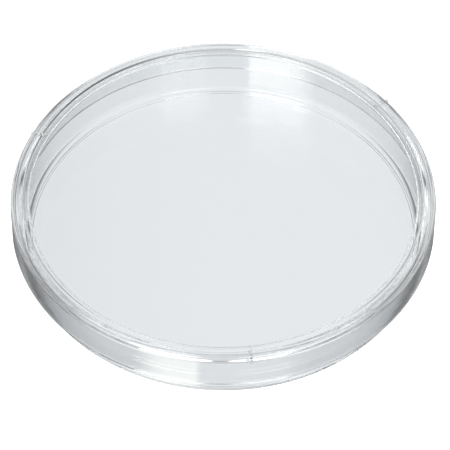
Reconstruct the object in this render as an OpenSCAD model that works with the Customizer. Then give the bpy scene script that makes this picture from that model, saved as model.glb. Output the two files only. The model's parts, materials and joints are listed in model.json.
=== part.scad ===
// Petri dish: a shallow round dish and the loose lid that covers it, both thin clear mouldings.
// Each one is a wall of even thickness turned about Z, so it is drawn as one section, radius
// along X and height along Y. The closed dish stands on its foot ring at Z = 0, centred on Z.

/* [Closed dish] */
// Outside diameter of the lid at its open edge, the widest place
lid_d = 90; // [86:1:100]
// Height from the foot ring to the top of the lid's bead
closed_h = 14.2; // [13.2:0.1:17]
// Thickness of every wall and floor
wall = 1.0; // [0.8:0.05:1.1]
// Lean of the upright walls, which frees a moulding from its tool
draft = 1.5; // [0.5:0.25:2]
// Radius of the two large outside corners, under the dish and on top of the lid
corner_r = 1.5; // [1.3:0.05:1.6]

/* [Lid] */
// Height of the lid alone
lid_h = 8.2; // [6:0.1:9]
// Height of the stacking bead above the flat top
bead_h = 0.6; // [0.4:0.05:0.8]
// Inside radius of the stacking bead less the radius of the foot ring
bead_play = 0.6; // [0.5:0.05:0.8]
// Width of the bevel in the inside corner between the lid's roof and its skirt
roof_bevel = 0.4; // [0.2:0.05:0.5]

/* [Dish] */
// Radial gap between the dish's mouth and the inside of the lid's skirt
mouth_gap = 0.6; // [0.45:0.05:0.8]
// Height of the foot ring
foot_h = 0.4; // [0.2:0.05:0.5]
// Width of the foot ring
foot_w = 0.5; // [0.3:0.05:1]
// Radius of the inside corner between floor and wall
floor_round = 0.7; // [0.5:0.05:1]

/* [Vent lugs] */
// Number of lugs that hold the lid off the dish's rim, so that air passes
lug_count = 3; // [3:1:6]
// Width of a lug across its length
lug_w = 0.6; // [0.5:0.05:1.2]
// Height of a lug, which is the height of the vent
lug_h = 0.5; // [0.3:0.05:0.7]
// Turn of the first lug about the dish's axis
lug_angle = 38.2; // [0:0.1:120]

/* [Gate mark] */
// Turn of the nick where the lid's skirt was cut from its runner
gate_angle = 247; // [0:1:360]
// Width of the nick
gate_w = 0.7; // [0.4:0.1:1]
// Depth of the nick
gate_t = 0.25; // [0.1:0.05:0.3]

/* [Hidden] */

// A bite that overruns a surface by this much leaves no skin behind
over = 1;
// Sides on a turned section and on an arc, fine enough that both count as true curves
turn_fn = 180;
arc_fn = 96;

// Radius of a drafted wall dz above the height where its radius is r
function leaned(r, dz) = r + dz * tan(draft);
// Radius of the centre of a corner arc that touches a wall leaning in towards the corner.
// r is the wall's radius, and dz its distance along Z from the height of the arc's centre.
function arc_centre(r, dz) = leaned(r, -dz) - corner_r / cos(draft);

lid_r = lid_d / 2;
skirt_z = closed_h - lid_h;
flat_z = closed_h - bead_h;
roof_z = closed_h - wall;
rim_z = roof_z - lug_h;
lid_arc_z = closed_h - corner_r;
lid_arc_x = arc_centre(lid_r, lid_arc_z - skirt_z);

skirt_in_r = lid_r - wall;
skirt_top_in_r = leaned(skirt_in_r, skirt_z - roof_z);
mouth_r = leaned(skirt_in_r, skirt_z - rim_z) - mouth_gap;
dish_arc_z = foot_h + corner_r;
dish_arc_x = arc_centre(mouth_r, rim_z - dish_arc_z);
foot_r = dish_arc_x;
floor_z = foot_h + wall;
inner_floor_r = leaned(mouth_r - wall, floor_z - rim_z);
bead_in_r = foot_r + bead_play;
// How far a lug runs up into the lid, which is thinnest where the flat top meets the bead
lug_root = (flat_z - roof_z) / 2;

// The square corner outside an arc of radius corner_r about (x, z).
// up is 1 where the corner is above the arc and -1 where it is below.
module corner_waste(x, z, up) {
    difference() {
        polygon([
            [x, z + up * (corner_r + over)],
            [x, z + up * corner_r],
            [x, z],
            [x + corner_r * cos(draft), z + up * corner_r * sin(draft)],
            [x + corner_r + over, z + up * corner_r * sin(draft)],
            [x + corner_r + over, z + up * (corner_r + over)]
        ]);
        translate([x, z]) circle(r = corner_r, $fn = arc_fn);
    }
}

// Fills the inside corner where the dish's drafted wall, of radius x there, stands on its floor
// at height z, down to a round of radius r
module inside_round(x, z, r) {
    cx = leaned(x, r) - r / cos(draft);
    touch_x = cx + r * cos(draft);
    touch_z = z + r * (1 - sin(draft));
    difference() {
        polygon([
            [cx, z + r],
            [cx, z - wall / 2],
            [touch_x + wall / 2, z - wall / 2],
            [touch_x + wall / 2, touch_z],
            [touch_x, touch_z]
        ]);
        translate([cx, z + r]) circle(r = r, $fn = arc_fn);
    }
}

module dish_section() {
    difference() {
        polygon([
            [0, foot_h],
            [foot_r - foot_w, foot_h],
            [foot_r - foot_w, 0],
            [foot_r, 0],
            [foot_r, foot_h],
            [leaned(mouth_r, foot_h - rim_z), foot_h],
            [mouth_r, rim_z],
            [mouth_r - wall, rim_z],
            [inner_floor_r, floor_z],
            [0, floor_z]
        ]);
        corner_waste(dish_arc_x, dish_arc_z, -1);
    }
    inside_round(inner_floor_r, floor_z, floor_round);
}

module lid_section() {
    difference() {
        polygon([
            [0, flat_z],
            [bead_in_r, flat_z],
            [bead_in_r, closed_h],
            [leaned(lid_r, skirt_z - closed_h), closed_h],
            [lid_r, skirt_z],
            [skirt_in_r, skirt_z],
            [leaned(skirt_top_in_r, roof_bevel), roof_z - roof_bevel],
            [skirt_top_in_r - roof_bevel, roof_z],
            [bead_in_r - wall, roof_z],
            [bead_in_r - wall, flat_z - wall],
            [0, flat_z - wall]
        ]);
        corner_waste(lid_arc_x, lid_arc_z, 1);
    }
}

// A lug across the roof of the lid's channel, from the sunk flat to the skirt
module vent_lug() {
    roof_x = bead_in_r - wall - over / 2;
    skirt_x = skirt_top_in_r + wall / 2;
    translate([roof_x, -lug_w / 2, rim_z])
        cube([skirt_x - roof_x, lug_w, lug_h + lug_root]);
}

module base_dish() {
    color([0.86, 0.90, 0.93, 0.35])
        rotate_extrude($fn = turn_fn) dish_section();
}

module lid() {
    color([0.88, 0.92, 0.95, 0.35])
        difference() {
            union() {
                rotate_extrude($fn = turn_fn) lid_section();
                for (i = [0 : lug_count - 1])
                    rotate(lug_angle + i * 360 / lug_count) vent_lug();
            }
            rotate(gate_angle)
                translate([lid_r - gate_t, -gate_w / 2, skirt_z - over])
                    cube([over, gate_w, over + gate_t]);
        }
}

base_dish();
lid();
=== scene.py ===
# %% [markdown]
# # A petri dish of clear polystyrene
#
# The object is two thin mouldings: a shallow round dish, and a loose lid that covers it.
# Both are clear, so nearly all that is seen of them is light bent at their corners and edges.
# That is why the corners have their true radii here, and why the last cells are about light.
#
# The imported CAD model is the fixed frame. It is loaded first, and its box is kept.

# %% Load the frame
import json
import math

import bmesh
import bpy
from mathutils import Matrix, Vector


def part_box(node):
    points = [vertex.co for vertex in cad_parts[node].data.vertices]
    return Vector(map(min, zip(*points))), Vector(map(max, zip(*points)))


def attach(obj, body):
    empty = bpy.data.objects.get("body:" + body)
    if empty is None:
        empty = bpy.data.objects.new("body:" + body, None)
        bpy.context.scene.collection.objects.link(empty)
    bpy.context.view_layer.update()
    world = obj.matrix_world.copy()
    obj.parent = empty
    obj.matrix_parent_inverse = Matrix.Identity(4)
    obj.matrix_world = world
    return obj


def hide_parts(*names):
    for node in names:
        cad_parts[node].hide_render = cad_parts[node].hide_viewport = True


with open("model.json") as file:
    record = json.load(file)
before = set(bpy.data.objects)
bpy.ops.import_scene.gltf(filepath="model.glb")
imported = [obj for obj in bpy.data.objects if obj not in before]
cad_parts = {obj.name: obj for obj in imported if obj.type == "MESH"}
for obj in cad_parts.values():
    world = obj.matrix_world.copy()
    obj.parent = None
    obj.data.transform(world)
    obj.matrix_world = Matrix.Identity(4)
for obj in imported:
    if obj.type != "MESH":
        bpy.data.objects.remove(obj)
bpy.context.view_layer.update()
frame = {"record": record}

# %% [markdown]
# ## Measures
#
# A moulding has one wall thickness nearly everywhere, because an even wall cools evenly. Its
# upright walls lean a little, which lets the part leave its tool. The outer sizes are read from
# the frame, so the fine pieces below can't drift from it, and only what the frame doesn't say
# is written here as a number. Lengths are in metres, so each one is a count of millimetres.

# %% Measures
MM = 0.001
WALL = 1.0 * MM
DRAFT = math.radians(1.5)
CORNER_R = 1.5 * MM
FOOT_W = 0.5 * MM
MOUTH_GAP = 0.6 * MM
FLOOR_ROUND = 0.7 * MM
ROOF_ROUND = 0.4 * MM

mounts = {m["name"]: m for m in frame["record"]["mounts"]}
foot_r = mounts["stacking_foot"]["dims"]["r_mm"] * MM
foot_h = mounts["stacking_foot"]["dims"]["length_mm"] * MM
bead_in_r = mounts["stacking_recess"]["dims"]["r_mm"] * MM
bead_h = mounts["stacking_recess"]["dims"]["length_mm"] * MM

lid_low, lid_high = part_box("lid")
dish_low, dish_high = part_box("base_dish")
lid_r = min(-lid_low.x, -lid_low.y, lid_high.x, lid_high.y)
skirt_z, closed_z = lid_low.z, lid_high.z
flat_z = closed_z - bead_h
roof_z = closed_z - WALL
rim_z = dish_high.z
floor_z = dish_low.z + foot_h + WALL
print("lid radius", round(lid_r, 5), "rim height", round(rim_z, 5))


def leaned(radius, rise):
    """Radius of a leaning wall at a height rise above the place where it is radius."""
    return radius + rise * math.tan(DRAFT)


# %% [markdown]
# ## Drawing a section
#
# Half of a turned part is drawn as one line in a plane: radius across, height up. It starts and
# ends on the axis. Each corner has its own radius, because a moulded edge is never truly sharp,
# and in clear plastic a round of only a tenth of a millimetre is what draws the bright and dark
# rings. The edges of the bead and of the channel under it are softer. Bevel could round the
# finished mesh instead, but it rounds every edge alike.
#
# Each long straight stretch gets a point just inside both its ends. These hold the shading of a
# flat face flat, right up to the round.

# %% Section helper
EDGE_R = 0.12 * MM
SOFT_R = 0.3 * MM
EDGE_STEPS = 8
ARC_STEPS = 20
HOLD = 0.03 * MM
LONG = 10 * HOLD


def rounded_line(corners):
    """Points along a line whose corners are (radius, height, corner radius)."""
    line = [Vector(corners[0][:2])]
    for before, here, after in zip(corners, corners[1:], corners[2:]):
        corner, r = Vector(here[:2]), here[2]
        back = (Vector(before[:2]) - corner).normalized()
        ahead = (Vector(after[:2]) - corner).normalized()
        half = back.angle(ahead) / 2
        centre = corner + (back + ahead).normalized() * (r / math.sin(half))
        start = corner + back * (r / math.tan(half)) - centre
        turn = start.angle_signed(corner + ahead * (r / math.tan(half)) - centre)
        steps = ARC_STEPS if r > SOFT_R else EDGE_STEPS
        for i in range(steps + 1):
            line.append(centre + Matrix.Rotation(-turn * i / steps, 2) @ start)
    line.append(Vector(corners[-1][:2]))
    held = [line[0]]
    for a, b in zip(line, line[1:]):
        if (b - a).length > LONG:
            step = (b - a).normalized() * HOLD
            held += [a + step, b - step]
        held.append(b)
    return held


# %% [markdown]
# ## The two sections
#
# The dish is a flat floor and a leaning wall, with a large outside corner and a thin foot ring
# under the floor. The lid is a flat plate inside a raised bead, and a skirt. The foot ring of
# the next dish in a stack stands inside the bead.

# %% Sections
wall_foot_r = leaned(leaned(lid_r - WALL, skirt_z - rim_z) - MOUTH_GAP, foot_h - rim_z)
mouth_r = leaned(wall_foot_r, rim_z - foot_h)
# A little under its full radius, so that this round starts outside the foot ring and not on it
outside_round = CORNER_R * 0.99
dish_section = rounded_line([
    (0, foot_h, 0),
    (foot_r - FOOT_W, foot_h, EDGE_R),
    (foot_r - FOOT_W, 0, EDGE_R),
    (foot_r, 0, EDGE_R),
    (foot_r, foot_h, EDGE_R / 2),
    (wall_foot_r, foot_h, outside_round),
    (mouth_r, rim_z, EDGE_R),
    (mouth_r - WALL, rim_z, EDGE_R),
    (leaned(mouth_r - WALL, floor_z - rim_z), floor_z, FLOOR_ROUND),
    (0, floor_z, 0),
])

skirt_in_r = lid_r - WALL
roof_r = leaned(skirt_in_r, skirt_z - roof_z)
# The bead is as high as two soft rounds. The lower one is smaller by this, so they don't meet.
ROUND_GAP = 0.02 * MM
lid_section = rounded_line([
    (0, flat_z - WALL, 0),
    (bead_in_r - WALL, flat_z - WALL, SOFT_R),
    (bead_in_r - WALL, roof_z, SOFT_R),
    (roof_r, roof_z, ROOF_ROUND),
    (skirt_in_r, skirt_z, EDGE_R),
    (lid_r, skirt_z, EDGE_R),
    (leaned(lid_r, skirt_z - closed_z), closed_z, CORNER_R),
    (bead_in_r, closed_z, SOFT_R),
    (bead_in_r, flat_z, SOFT_R - ROUND_GAP),
    (0, flat_z, 0),
])
print("points in the dish's section", len(dish_section), "and the lid's", len(lid_section))

# %% [markdown]
# ## Writing node trees
#
# Both kinds of tree below, for shapes and for finishes, are written with one method. It takes a
# node's type, the settings that change which sockets it has, and then the sockets themselves.
# A socket can be given a number, or another node's socket to link from.

# %% Tree writer


class Tree:
    """A node tree whose nodes are added one to a line."""

    def __init__(self, tree):
        self.tree = tree

    def add(self, kind, settings=None, sockets=None):
        node = self.tree.nodes.new(kind)
        for name, value in (settings or {}).items():
            setattr(node, name, value)
        for name, value in (sockets or {}).items():
            self.feed(node.inputs[name], value)
        return node

    def feed(self, socket, value):
        value = getattr(value, "socket", value)
        if isinstance(value, bpy.types.NodeSocket):
            self.tree.links.new(value, socket)
        else:
            socket.default_value = value


def shape_tree(name, inputs):
    """A Geometry Nodes tree with a geometry input, the named inputs, and one geometry output."""
    group = bpy.data.node_groups.new(name, "GeometryNodeTree")
    group.interface.new_socket("Geometry", in_out="INPUT", socket_type="NodeSocketGeometry")
    for label, kind in inputs.items():
        group.interface.new_socket(label, in_out="INPUT", socket_type="NodeSocket" + kind)
    group.interface.new_socket("Geometry", in_out="OUTPUT", socket_type="NodeSocketGeometry")
    tree = Tree(group)
    return tree, tree.add("NodeGroupInput").outputs


def close_tree(tree, geometry, material):
    """Ends a tree: instances become real faces, and every face gets the finish."""
    real = tree.add("GeometryNodeRealizeInstances", sockets={"Geometry": geometry})
    done = tree.add("GeometryNodeSetMaterial",
                    sockets={"Geometry": real.outputs[0], "Material": material})
    tree.add("NodeGroupOutput", sockets={"Geometry": done.outputs[0]})
    return tree.tree


def run_tree(piece, group, values):
    """Gives the piece the mesh that the tree makes from it, with no modifier left on it."""
    modifier = piece.modifiers.new(group.name, "NODES")
    modifier.node_group = group
    for item in group.interface.items_tree:
        if item.in_out == "INPUT" and item.name in values:
            modifier[item.identifier] = values[item.name]
    evaluated = piece.evaluated_get(bpy.context.evaluated_depsgraph_get())
    mesh = bpy.data.meshes.new_from_object(evaluated)
    piece.modifiers.remove(modifier)
    piece.data = mesh
    mesh.name = piece.name
    return piece


def mesh_piece(name, points, edges=(), faces=()):
    """An object at the origin with a mesh of these points."""
    mesh = bpy.data.meshes.new(name)
    mesh.from_pydata([tuple(p) for p in points], edges, faces)
    piece = bpy.data.objects.new(name, mesh)
    bpy.context.scene.collection.objects.link(piece)
    return piece


# %% [markdown]
# ## Turning
#
# A turned part is its section swept round a circle. The Screw modifier does that too, but a
# tree keeps the number of facets as a named input and can go on to cut and join. The section
# hangs on a circle through the axis's side, so its points are drawn from that circle: out is
# plus, and down is plus. Where the section meets the axis the sweep leaves a ring of points on
# one spot, and Merge by Distance closes it.

# %% Turning tree
PATH_R = 20 * MM
TURN_STEPS = 360
WELD = 0.001 * MM


def turning_tree():
    tree, given = shape_tree("Turned moulding", {
        "Path radius": "Float", "Facets": "Int", "Weld": "Float", "Finish": "Material"})
    section = tree.add("GeometryNodeMeshToCurve", sockets={"Mesh": given["Geometry"]})
    circle = tree.add("GeometryNodeCurvePrimitiveCircle", sockets={
        "Resolution": given["Facets"], "Radius": given["Path radius"]})
    swept = tree.add("GeometryNodeCurveToMesh", sockets={
        "Curve": circle.outputs["Curve"], "Profile Curve": section.outputs[0]})
    closed = tree.add("GeometryNodeMergeByDistance", sockets={
        "Geometry": swept.outputs[0], "Distance": given["Weld"]})
    return close_tree(tree, closed.outputs[0], given["Finish"])


def turn(name, section, tree, finish):
    points = [(p.x - PATH_R, -p.y, 0) for p in reversed(section)]
    piece = mesh_piece(name, points, edges=[(i, i + 1) for i in range(len(points) - 1)])
    return run_tree(piece, tree, {
        "Path radius": PATH_R, "Facets": TURN_STEPS, "Weld": WELD, "Finish": finish})


def report(piece):
    """Prints the solid volume, which is negative if the faces point inwards."""
    shape = bmesh.new()
    shape.from_mesh(piece.data)
    open_edges = sum(1 for e in shape.edges if len(e.link_faces) != 2)
    print(piece.name, len(shape.faces), "faces,", open_edges, "open edges,",
          round(shape.calc_volume(signed=True) / MM ** 3, 1), "cubic mm")
    shape.free()


# %% [markdown]
# ## Shader maths
#
# Finishes and lights both mix patterns by adding and multiplying them. Each such step is a Math
# node, and long chains of them are hard to read. The small class below lets the steps be written
# as ordinary sums on sockets.

# %% Shader maths


class Value:
    """A socket that can be added, subtracted and multiplied, each time with a Math node."""

    def __init__(self, tree, socket):
        self.tree, self.socket = tree, socket

    def maths(self, operation, first, second):
        node = self.tree.add("ShaderNodeMath", {"operation": operation})
        for socket, value in zip(node.inputs, (first, second)):
            self.tree.feed(socket, value)
        return Value(self.tree, node.outputs[0])

    def __add__(self, other):
        return self.maths("ADD", self, other)

    def __sub__(self, other):
        return self.maths("SUBTRACT", self, other)

    def __rsub__(self, other):
        return self.maths("SUBTRACT", other, self)

    def __mul__(self, other):
        return self.maths("MULTIPLY", self, other)


# %% [markdown]
# ## Clear polystyrene
#
# Polystyrene bends light more than window glass does: its index is 1.59. A clear moulding has
# next to no colour of its own, so its finish is in small things. The melt flowed outwards from
# the gate and left very faint waves. The tool was turned on a lathe, so the walls carry its fine
# level rings. Handling leaves hairline scratches and a light scuffing. One Principled shader is
# enough, and it travels well to other programs. The patterns only feed Roughness and the normal.
# Clear plastic would throw a black shadow, because Cycles doesn't bend the light that makes
# shadows. For that light alone the plastic is a faint grey filter.
#
# A pattern's scale is roughly the number of its features in a metre.

# %% Clear finish
INDEX = 1.59
WAVE_SCALE = 55.0
WAVE_RELIEF = 0.15
RING_SCALE = 2500.0
RING_RELIEF = 0.08
RELIEF = 0.05 * MM
WEAR_SCALE = 90.0
SCRATCH_SCALE = 300.0
SCRATCH_WIDTH = 0.012
SCRATCH_STRETCH = 0.08
SCRATCHED = 0.12
SCUFFED = 0.03
POLISHED = 0.004
NEARLY_COLOURLESS = (0.985, 0.99, 0.995, 1)
SHADOW_TINT = (0.93, 0.94, 0.95, 1)


def smooth_step(tree, value, start, end, low=0.0, high=1.0):
    """Runs from low to high while value runs from start to end, and is level outside them."""
    return Value(tree, tree.add("ShaderNodeMapRange", {"interpolation_type": "SMOOTHSTEP"}, {
        "Value": value, "From Min": start, "From Max": end,
        "To Min": low, "To Max": high}).outputs[0])


def clear_polystyrene(name, tint, seed):
    """Clear moulded plastic, with flow waves, turning marks, scratches and light scuffing."""
    material = bpy.data.materials.new(name)
    material.use_nodes = True
    material.node_tree.nodes.clear()
    tree = Tree(material.node_tree)
    place = tree.add("ShaderNodeTexCoord").outputs["Object"]
    height = tree.add("ShaderNodeSeparateXYZ", sockets={"Vector": place}).outputs["Z"]
    moved = tree.add("ShaderNodeMapping", sockets={
        "Vector": place, "Location": (seed, -seed, seed), "Rotation": (0, 0, seed)}).outputs[0]
    streaked = tree.add("ShaderNodeMapping", sockets={
        "Vector": moved, "Scale": (1.0, SCRATCH_STRETCH, 1.0)}).outputs[0]

    waves = Value(tree, tree.add("ShaderNodeTexNoise", sockets={
        "Vector": moved, "Scale": WAVE_SCALE, "Detail": 0.0}).outputs["Fac"])
    rings = Value(tree, tree.add("ShaderNodeTexNoise", {"noise_dimensions": "1D"}, {
        "W": height, "Scale": RING_SCALE, "Detail": 1.0}).outputs["Fac"])
    worn = Value(tree, tree.add("ShaderNodeTexNoise", {"noise_dimensions": "2D"}, {
        "Vector": moved, "Scale": WEAR_SCALE, "Detail": 3.0}).outputs["Fac"])
    cells = tree.add("ShaderNodeTexVoronoi", {
        "feature": "DISTANCE_TO_EDGE", "voronoi_dimensions": "2D"}, {
        "Vector": streaked, "Scale": SCRATCH_SCALE}).outputs["Distance"]
    lines = smooth_step(tree, cells, 0.0, SCRATCH_WIDTH, 1.0, 0.0)
    scratches = lines * smooth_step(tree, worn, 0.45, 0.65)
    scuff = smooth_step(tree, worn, 0.5, 0.8)

    bump = tree.add("ShaderNodeBump", sockets={
        "Height": waves * WAVE_RELIEF + rings * RING_RELIEF, "Distance": RELIEF,
        "Strength": 1.0})
    shader = tree.add("ShaderNodeBsdfPrincipled", sockets={
        "Base Color": tint, "IOR": INDEX, "Transmission Weight": 1.0,
        "Roughness": scratches * SCRATCHED + scuff * SCUFFED + POLISHED,
        "Normal": bump.outputs[0]})
    shadow = tree.add("ShaderNodeBsdfTransparent", sockets={"Color": SHADOW_TINT})
    for_shadow = tree.add("ShaderNodeLightPath").outputs["Is Shadow Ray"]
    mixed = tree.add("ShaderNodeMixShader", sockets={
        0: for_shadow, 1: shader.outputs[0], 2: shadow.outputs[0]})
    tree.add("ShaderNodeOutputMaterial", sockets={"Surface": mixed.outputs[0]})
    return material


dish_finish = clear_polystyrene("dish polystyrene", NEARLY_COLOURLESS, 1.0)
lid_finish = clear_polystyrene("lid polystyrene", NEARLY_COLOURLESS, 2.0)
print("finishes:", dish_finish.name, "and", lid_finish.name)

# %% [markdown]
# ## The dish
#
# The dish has nothing but its section, so one turn makes it.

# %% Dish
turned = turning_tree()
dish = turn("dish_moulding", dish_section, turned, dish_finish)
report(dish)

# %% [markdown]
# ## The lid, its vent lugs and its gate mark
#
# Three lugs under the bead hold the lid off the dish's rim, so that air can pass in and out.
# Each is a short rib across the channel under the bead. They follow a rule, three equal turns
# round the axis, so a tree makes them: it puts one point for each lug on the axis, turns the
# copies by their index, and joins them to the turned lid. The gate mark is the small nick left
# where the moulding was cut from the runner that fed it, and the same tree takes it out of the
# skirt's lower edge.

# %% Lid
LUG_COUNT = 3
LUG_W = 0.6 * MM
LUG_TURN = math.radians(38.2)
LUG_EDGE_R = 0.04 * MM
LUG_EDGE_STEPS = 3
lug_root = (flat_z - roof_z) / 2
GATE_W = 0.7 * MM
GATE_T = 0.25 * MM
GATE_TURN = math.radians(247)


def lug_piece(name):
    """One lug, a bar along the X axis with eased edges, whose top and ends are in the lid."""
    across = (bead_in_r - 1.5 * WALL, roof_r + WALL / 2)
    along, up = (-LUG_W / 2, LUG_W / 2), (rim_z, roof_z + lug_root)
    corners = [(x, y, z) for x in across for y in along for z in up]
    piece = mesh_piece(name, corners)
    shape = bmesh.new()
    shape.from_mesh(piece.data)
    bmesh.ops.convex_hull(shape, input=shape.verts)
    bmesh.ops.bevel(shape, geom=shape.edges[:], offset=LUG_EDGE_R,
                    segments=LUG_EDGE_STEPS, profile=0.5, affect="EDGES")
    shape.to_mesh(piece.data)
    shape.free()
    return piece


def lid_tree():
    tree, given = shape_tree("Lugs and gate mark", {
        "Lug": "Object", "Lug count": "Int", "First lug turn": "Float",
        "Gate size": "Vector", "Gate place": "Vector", "Gate turn": "Float",
        "Finish": "Material"})
    ring = tree.add("GeometryNodeMeshCircle", {"fill_type": "NONE"}, {
        "Vertices": given["Lug count"], "Radius": 1 * MM})
    step = 2 * math.pi / LUG_COUNT
    index = tree.add("GeometryNodeInputIndex").outputs[0]
    turn_z = tree.add("ShaderNodeMath", {"operation": "MULTIPLY_ADD"}, {
        0: index, 1: step, 2: given["First lug turn"]})
    turned_by = tree.add("ShaderNodeCombineXYZ", sockets={"Z": turn_z.outputs[0]})
    centred = tree.add("GeometryNodeSetPosition", sockets={
        "Geometry": ring.outputs[0], "Position": (0, 0, 0)})
    lug = tree.add("GeometryNodeObjectInfo", sockets={"Object": given["Lug"]})
    lugs = tree.add("GeometryNodeInstanceOnPoints", sockets={
        "Points": centred.outputs[0], "Instance": lug.outputs["Geometry"],
        "Rotation": turned_by.outputs[0]})
    real = tree.add("GeometryNodeRealizeInstances", sockets={"Geometry": lugs.outputs[0]})
    joined = tree.add("GeometryNodeMeshBoolean", {"operation": "UNION", "solver": "EXACT"})
    tree.feed(joined.inputs["Mesh 2"], given["Geometry"])
    tree.feed(joined.inputs["Mesh 2"], real.outputs[0])
    nick = tree.add("GeometryNodeMeshCube", sockets={"Size": given["Gate size"]})
    put = tree.add("GeometryNodeTransform", sockets={
        "Geometry": nick.outputs[0], "Translation": given["Gate place"]})
    gate_turn = tree.add("ShaderNodeCombineXYZ", sockets={"Z": given["Gate turn"]})
    aimed = tree.add("GeometryNodeTransform", sockets={
        "Geometry": put.outputs[0], "Rotation": gate_turn.outputs[0]})
    cut = tree.add("GeometryNodeMeshBoolean", {"operation": "DIFFERENCE", "solver": "EXACT"}, {
        "Mesh 1": joined.outputs[0], "Mesh 2": aimed.outputs[0]})
    return close_tree(tree, cut.outputs[0], given["Finish"])


lid = turn("lid_moulding", lid_section, turned, lid_finish)
report(lid)
lug = lug_piece("lug_pattern")
# A cut that overruns a surface by this much leaves no skin behind
over = 1 * MM
run_tree(lid, lid_tree(), {
    "Lug": lug, "Lug count": LUG_COUNT, "First lug turn": LUG_TURN,
    "Gate size": (over + GATE_T, GATE_W, over + GATE_T),
    "Gate place": (lid_r + (over - GATE_T) / 2, 0, skirt_z + (GATE_T - over) / 2),
    "Gate turn": GATE_TURN, "Finish": lid_finish})
bpy.data.objects.remove(lug)
report(lid)

# %% [markdown]
# ## Smooth faces
#
# Light through clear plastic shows every facet, so all faces are shaded smooth. Only the lugs
# and the gate mark have corners that stay sharp.

# %% Smooth shading
SHARP_ANGLE = math.radians(25)
for piece in (dish, lid):
    piece.data.polygons.foreach_set("use_smooth", [True] * len(piece.data.polygons))
    piece.data.set_sharp_from_angle(angle=SHARP_ANGLE)
    print(piece.name, "materials:", [m.name for m in piece.data.materials])

# %% [markdown]
# ## Floor
#
# The floor is a plain white sheet that glows a little past white, so the dish stands in an even
# white. Clear things are best shown on glass, with a lit panel well below it, because a clear
# edge only shows where it bends the view towards something darker. Here light that has passed
# through the plastic, or is mirrored by it, doesn't meet the floor. It goes on down to the panel,
# which is part of the surroundings in the next cell.

# %% Floor
FLOOR_HALF = 1.5
FLOOR_GAP = 0.02 * MM
WHITE = 1.15
floor = mesh_piece("floor", [(-FLOOR_HALF, -FLOOR_HALF, 0), (FLOOR_HALF, -FLOOR_HALF, 0),
                             (FLOOR_HALF, FLOOR_HALF, 0), (-FLOOR_HALF, FLOOR_HALF, 0)],
                   faces=[(0, 1, 2, 3)])
floor.location.z = dish_low.z - FLOOR_GAP
sheet_finish = bpy.data.materials.new("white sheet")
sheet_finish.use_nodes = True
sheet_finish.node_tree.nodes.clear()
sheet_tree = Tree(sheet_finish.node_tree)
sheet_shader = sheet_tree.add("ShaderNodeBsdfPrincipled", sockets={
    "Base Color": (0.8, 0.8, 0.8, 1), "Roughness": 0.9, "Specular IOR Level": 0.0,
    "Emission Color": (1, 1, 1, 1), "Emission Strength": WHITE})
sheet_tree.add("ShaderNodeOutputMaterial", sockets={"Surface": sheet_shader.outputs[0]})
floor.data.materials.append(sheet_finish)
floor.visible_transmission = False
floor.visible_glossy = False
print("floor at height", round(floor.location.z, 5))

# %% [markdown]
# ## Surroundings
#
# The world stands for the room. Every direction gets a brightness. Below the horizon it is the
# lit panel, with grey cards that darken the dish's walls: a low one on each side, a fainter high
# one on the left, and one on the camera's side with a warm, brighter gap at its left end. Close
# to straight down the panel is darker in front and behind, and brighter to the sides.
# Above the horizon it is an even room, dim in the left corner behind the dish and bright on the
# camera's side, except where the camera itself stands. A narrow window is behind the dish.
# All of it is tinted a little cool. Straight views of the background are plain white.
#
# Bearings are in degrees, 0 straight behind the dish and 90 to its right. Heights are the Z of
# the direction, so -1 is straight down. PANEL and ROOM are the brightnesses to start from, and
# each of the other numbers is how far its card or light moves them.

# %% Surroundings
PANEL = 0.91
LOW_CARD = 0.76
HIGH_CARD = 0.2
NEAR_CARD = 0.42
DEEP_CARD = 0.2
DEEP_SIDES = 0.55
LIT_END = 0.3
ROOM = 0.57
DIM_CORNER = 0.5
CAMERA_SIDE = 0.75
CAMERA_GAP = 0.7
WINDOW = 0.65
COOL_RED = 0.96
COOL_GREEN = 0.985
WARM_END = 0.12


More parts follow.
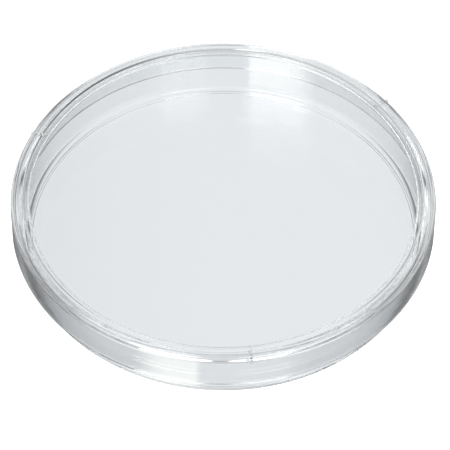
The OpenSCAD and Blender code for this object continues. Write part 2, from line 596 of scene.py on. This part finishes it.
def surroundings():
    world = bpy.data.worlds.new("studio")
    world.use_nodes = True
    world.node_tree.nodes.clear()
    tree = Tree(world.node_tree)
    towards = tree.add("ShaderNodeTexCoord").outputs["Generated"]
    x, y, z = (Value(tree, s) for s in tree.add(
        "ShaderNodeSeparateXYZ", sockets={"Vector": towards}).outputs)
    bearing = Value(tree, tree.add("ShaderNodeMath", {"operation": "ARCTAN2"}, {
        0: x, 1: y}).outputs[0]) * math.degrees(1)
    off_axis = Value(tree, tree.add("ShaderNodeMath", {"operation": "ABSOLUTE"}, {
        0: bearing}).outputs[0])

    def between(value, start, full, fade, end):
        """1 while value is between full and fade, and 0 before start and after end."""
        return smooth_step(tree, value, start, full) * smooth_step(tree, value, fade, end, 1, 0)

    left = smooth_step(tree, x, 0.05, -0.05)
    beside = between(off_axis, 8, 22, 125, 150)
    low_card = between(z, -0.90, -0.84, -0.62, -0.50)
    high_card = between(z, -0.42, -0.34, -0.18, -0.08) * left
    glow = between(bearing, -167, -165, -140, -128)
    nearest = smooth_step(tree, off_axis, 125, 150)
    near_card = between(z, -0.97, -0.91, -0.50, -0.40) * nearest * (1 - glow)
    cards = (low_card * beside * LOW_CARD + near_card * NEAR_CARD
             + high_card * between(off_axis, 12, 30, 70, 95) * HIGH_CARD)
    deep = between(z, -0.992, -0.96, -0.92, -0.85)
    lit_end = between(z, -0.97, -0.90, -0.20, 0.0) * glow
    below = (PANEL - cards - deep * DEEP_CARD + deep * beside * DEEP_SIDES
             + lit_end * LIT_END)

    dim_corner = between(bearing, -75, -50, -15, 0) * smooth_step(tree, z, 0.96, 0.85)
    camera_side = smooth_step(tree, y, 0.1, -0.6)
    camera_gap = smooth_step(tree, off_axis, 160, 168) * between(z, 0.35, 0.5, 0.93, 0.98)
    window = between(bearing, 0.8, 1.1, 3.1, 3.5) * between(z, 0.3, 0.5, 0.70, 0.745)
    above = (ROOM - dim_corner * DIM_CORNER + camera_side * CAMERA_SIDE
             - camera_gap * CAMERA_GAP + window * WINDOW)

    room = below + (above - below) * smooth_step(tree, z, 0.03, 0.15)
    straight = tree.add("ShaderNodeLightPath").outputs["Is Camera Ray"]
    shown = room + (WHITE - room) * Value(tree, straight)
    colour = tree.add("ShaderNodeCombineColor", sockets={
        "Red": COOL_RED, "Green": COOL_GREEN, "Blue": 1 - lit_end * WARM_END})
    back = tree.add("ShaderNodeBackground", sockets={
        "Color": colour.outputs[0], "Strength": shown})
    tree.add("ShaderNodeOutputWorld", sockets={"Surface": back.outputs[0]})
    bpy.context.scene.world = world
    print("surroundings:", len(world.node_tree.nodes), "nodes")


surroundings()

# %% [markdown]
# ## Soft boxes
#
# Two soft boxes hang in front, one each side of the camera. They draw the bright streaks on the
# rounded edge nearest to the camera, with a darker gap between them where the camera stands.
# An area light's energy spreads over its face, so it is worked out from the brightness wanted
# and the size of the face.

# %% Soft boxes


def soft_box(name, bearing, rise, distance, width, height, brightness, tint=(1, 1, 1)):
    """An area light that faces the dish, on a bearing and a rise in degrees."""
    data = bpy.data.lights.new(name, "AREA")
    data.shape = "RECTANGLE"
    data.size, data.size_y = width, height
    data.energy = brightness * math.pi * width * height
    data.color = tint
    box = bpy.data.objects.new(name, data)
    bpy.context.scene.collection.objects.link(box)
    bearing, rise = math.radians(bearing), math.radians(rise)
    away = Vector((math.sin(bearing) * math.cos(rise), math.cos(bearing) * math.cos(rise),
                   math.sin(rise)))
    box.matrix_world = (Matrix.Translation(away * distance)
                        @ away.to_track_quat("Z", "Y").to_matrix().to_4x4())
    box.visible_camera = False
    print(name, "of", round(data.energy, 2), "watts")


soft_box("left soft box", bearing=-149, rise=45, distance=1.0, width=0.42, height=0.7,
         brightness=2.7, tint=(1.0, 0.98, 0.93))
soft_box("right soft box", bearing=157, rise=45, distance=1.0, width=0.33, height=0.7,
         brightness=1.9)

# %% [markdown]
# ## Camera
#
# The camera looks down at the dish from in front, with a long lens, so the circle of the lid is
# nearly a true ellipse. It is rolled by a quarter of a degree, because a stand is seldom level.

# %% Camera
AIM = Vector((0.39, -3.59, 7.0)) * MM
CAMERA_DISTANCE = 460 * MM
CAMERA_RISE = math.radians(49.24)
CAMERA_ROLL = math.radians(0.27)
SENSOR_WIDTH = 36
FOCAL_LENGTH = 173.69
camera_data = bpy.data.cameras.new("camera")
camera_data.sensor_width = SENSOR_WIDTH
camera_data.lens = FOCAL_LENGTH
camera_data.clip_start = 0.01
camera_data.clip_end = 50
camera = bpy.data.objects.new("camera", camera_data)
bpy.context.scene.collection.objects.link(camera)
away = Vector((0, -math.cos(CAMERA_RISE), math.sin(CAMERA_RISE)))
camera.matrix_world = (Matrix.Translation(AIM + away * CAMERA_DISTANCE)
                       @ (-away).to_track_quat("-Z", "Y").to_matrix().to_4x4()
                       @ Matrix.Rotation(CAMERA_ROLL, 4, "Z"))
bpy.context.scene.camera = camera
print("camera at", [round(c, 3) for c in camera.matrix_world.translation])

# %% [markdown]
# ## Picture settings
#
# The plain view transform keeps white white. Light that gets into an edge of clear plastic is
# passed on inside the wall for dozens of turns before it leaves. If it is given up too early the
# edges come out as black lines, so it is allowed plenty of turns.

# %% Picture settings
TURNS = 64
CLEAR_LAYERS = 40
scene = bpy.context.scene
scene.view_settings.view_transform = "Standard"
scene.cycles.max_bounces = TURNS
scene.cycles.transmission_bounces = TURNS
scene.cycles.glossy_bounces = TURNS
scene.cycles.transparent_max_bounces = CLEAR_LAYERS
scene.cycles.use_denoising = True
print("turns of light allowed:", scene.cycles.max_bounces)

# %% [markdown]
# ## Ride on the frame
#
# The frame's slide lifts the lid off the dish. Each moulding here takes the place of the CAD node
# of the same shape, rides on that node's body, and has its own slot for a finish, so the two
# pieces move and can be refinished apart.

# %% Ride on the frame
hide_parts("base_dish")
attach(dish, "dish")
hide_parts("lid")
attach(lid, "lid")
print(dish.name, "and", lid.name, "stand for the CAD nodes")
